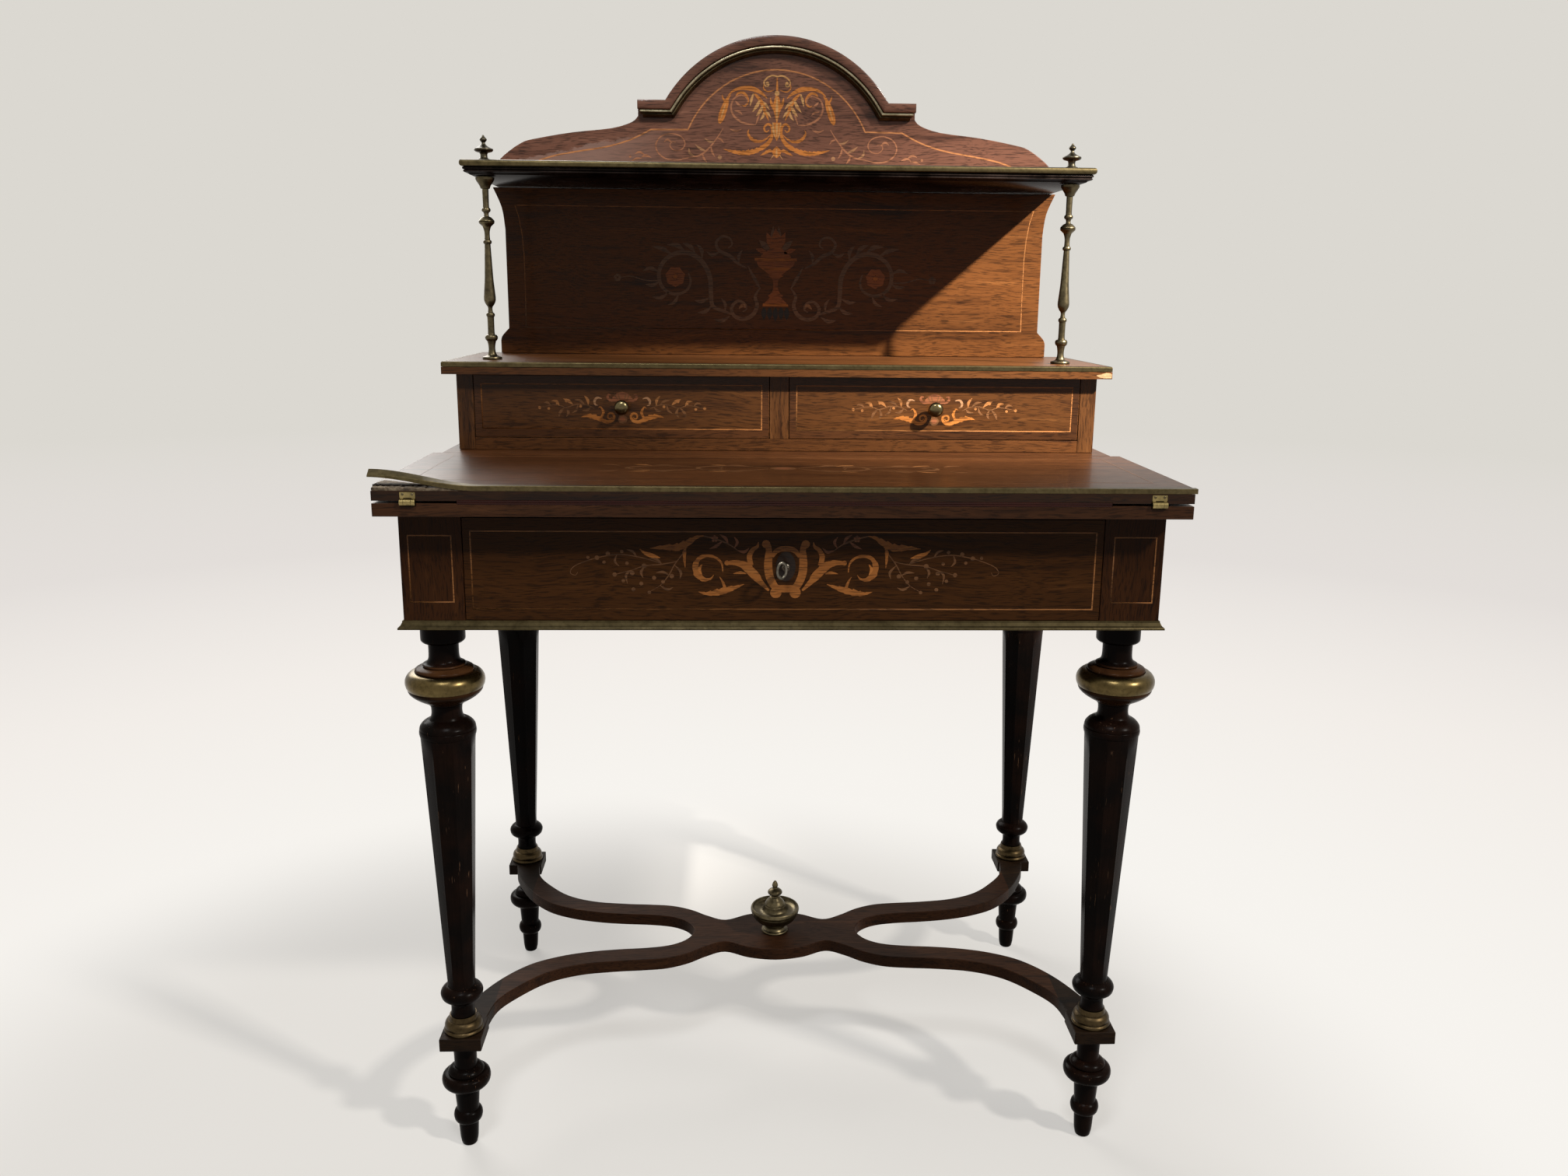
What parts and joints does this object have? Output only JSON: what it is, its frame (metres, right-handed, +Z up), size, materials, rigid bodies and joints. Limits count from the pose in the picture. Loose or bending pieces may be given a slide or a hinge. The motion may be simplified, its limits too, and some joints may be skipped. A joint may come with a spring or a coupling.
{
  "type": "bonheur du jour writing desk",
  "caption": "Lady's writing desk with turned legs on a shaped stretcher, a fold-out leather leaf, a locking writing drawer, small drawers and a columned gallery under an arched crest.",
  "frame": {"origin": "on the floor, under the middle of the desk's box", "axes": "+X to the desk's right as seen from the front, +Y from front to back, +Z up"},
  "size_m": [0.809, 0.546, 1.2666],
  "materials": {
    "rosewood": "french polished rosewood veneer",
    "ebonised": "ebonised and polished, worn",
    "walnut": "polished brown",
    "oak": "dry drawer lining",
    "brass": "aged, satin",
    "leather": "worn red skiver",
    "iron": "dull iron"
  },
  "bodies": {
    "frame": {"leg_front_left": "ebonised", "leg_front_right": "ebonised", "leg_back_left": "ebonised", "leg_back_right": "ebonised", "foot_front_left": "ebonised", "foot_front_right": "ebonised", "foot_back_left": "ebonised", "foot_back_right": "ebonised", "stretcher": "walnut", "stretcher_urn": "brass", "corner_post_front_left": "rosewood", "corner_post_front_right": "rosewood", "corner_post_back_left": "rosewood", "corner_post_back_right": "rosewood", "side_rail_left": "rosewood", "side_rail_right": "rosewood", "back_rail": "rosewood", "front_top_rail": "rosewood", "front_lower_rail": "rosewood", "drawer_runner_left": "oak", "drawer_runner_right": "oak", "apron_brass_moulding": "brass", "lower_leaf": "rosewood", "lower_leaf_leather": "leather", "hinge_left_fixed": "brass", "hinge_right_fixed": "brass", "rear_top_board": "rosewood", "case_side_left": "rosewood", "case_side_right": "rosewood", "case_divider": "rosewood", "case_floor": "rosewood", "case_back": "rosewood", "case_top_board": "rosewood", "case_brass_edge": "brass", "column_left": "brass", "column_right": "brass", "finial_left": "brass", "finial_right": "brass", "shelf": "ebonised", "shelf_brass_edge": "brass", "back_panel": "rosewood", "crest": "rosewood", "crest_moulding": "rosewood"},
    "leaf": {"upper_leaf": "rosewood", "upper_leaf_leather": "leather", "leaf_brass_strip": "brass", "hinge_left_moving": "brass", "hinge_right_moving": "brass"},
    "writing_drawer": {"writing_drawer_front": "rosewood", "writing_drawer_box": "oak", "writing_drawer_bottom": "oak", "drawer_lock": "iron"},
    "key": {"key": "iron"},
    "lock_bolt": {"lock_bolt": "iron"},
    "left_drawer": {"left_drawer_front": "rosewood", "left_drawer_box": "oak", "left_drawer_knob": "brass"},
    "right_drawer": {"right_drawer_front": "rosewood", "right_drawer_box": "oak", "right_drawer_knob": "brass"}
  },
  "joints": [
    {"name": "leaf_fold", "type": "hinge", "parent": "frame", "child": "leaf", "pos_m": [0, -0.2695, 0.75325], "axis": [1, 0, 0], "range_deg": [0, 180]},
    {"name": "writing_drawer_slide", "type": "slide", "parent": "frame", "child": "writing_drawer", "axis": [0, -1, 0], "range_m": [0, 0.28]},
    {"name": "key_turn", "type": "hinge", "parent": "writing_drawer", "child": "key", "pos_m": [0, -0.238, 0.684], "axis": [0, -1, 0], "range_deg": [-90, 0]},
    {"name": "bolt_throw", "type": "slide", "parent": "writing_drawer", "child": "lock_bolt", "axis": [0, 0, 1], "range_m": [0, 0.0035]},
    {"name": "left_drawer_slide", "type": "slide", "parent": "frame", "child": "left_drawer", "axis": [0, -1, 0], "range_m": [0, 0.15]},
    {"name": "right_drawer_slide", "type": "slide", "parent": "frame", "child": "right_drawer", "axis": [0, -1, 0], "range_m": [0, 0.15]}
  ],
  "couplings": [
    {"joint": "key_turn", "follows": "bolt_throw", "rad_per_m": -448}
  ]
}
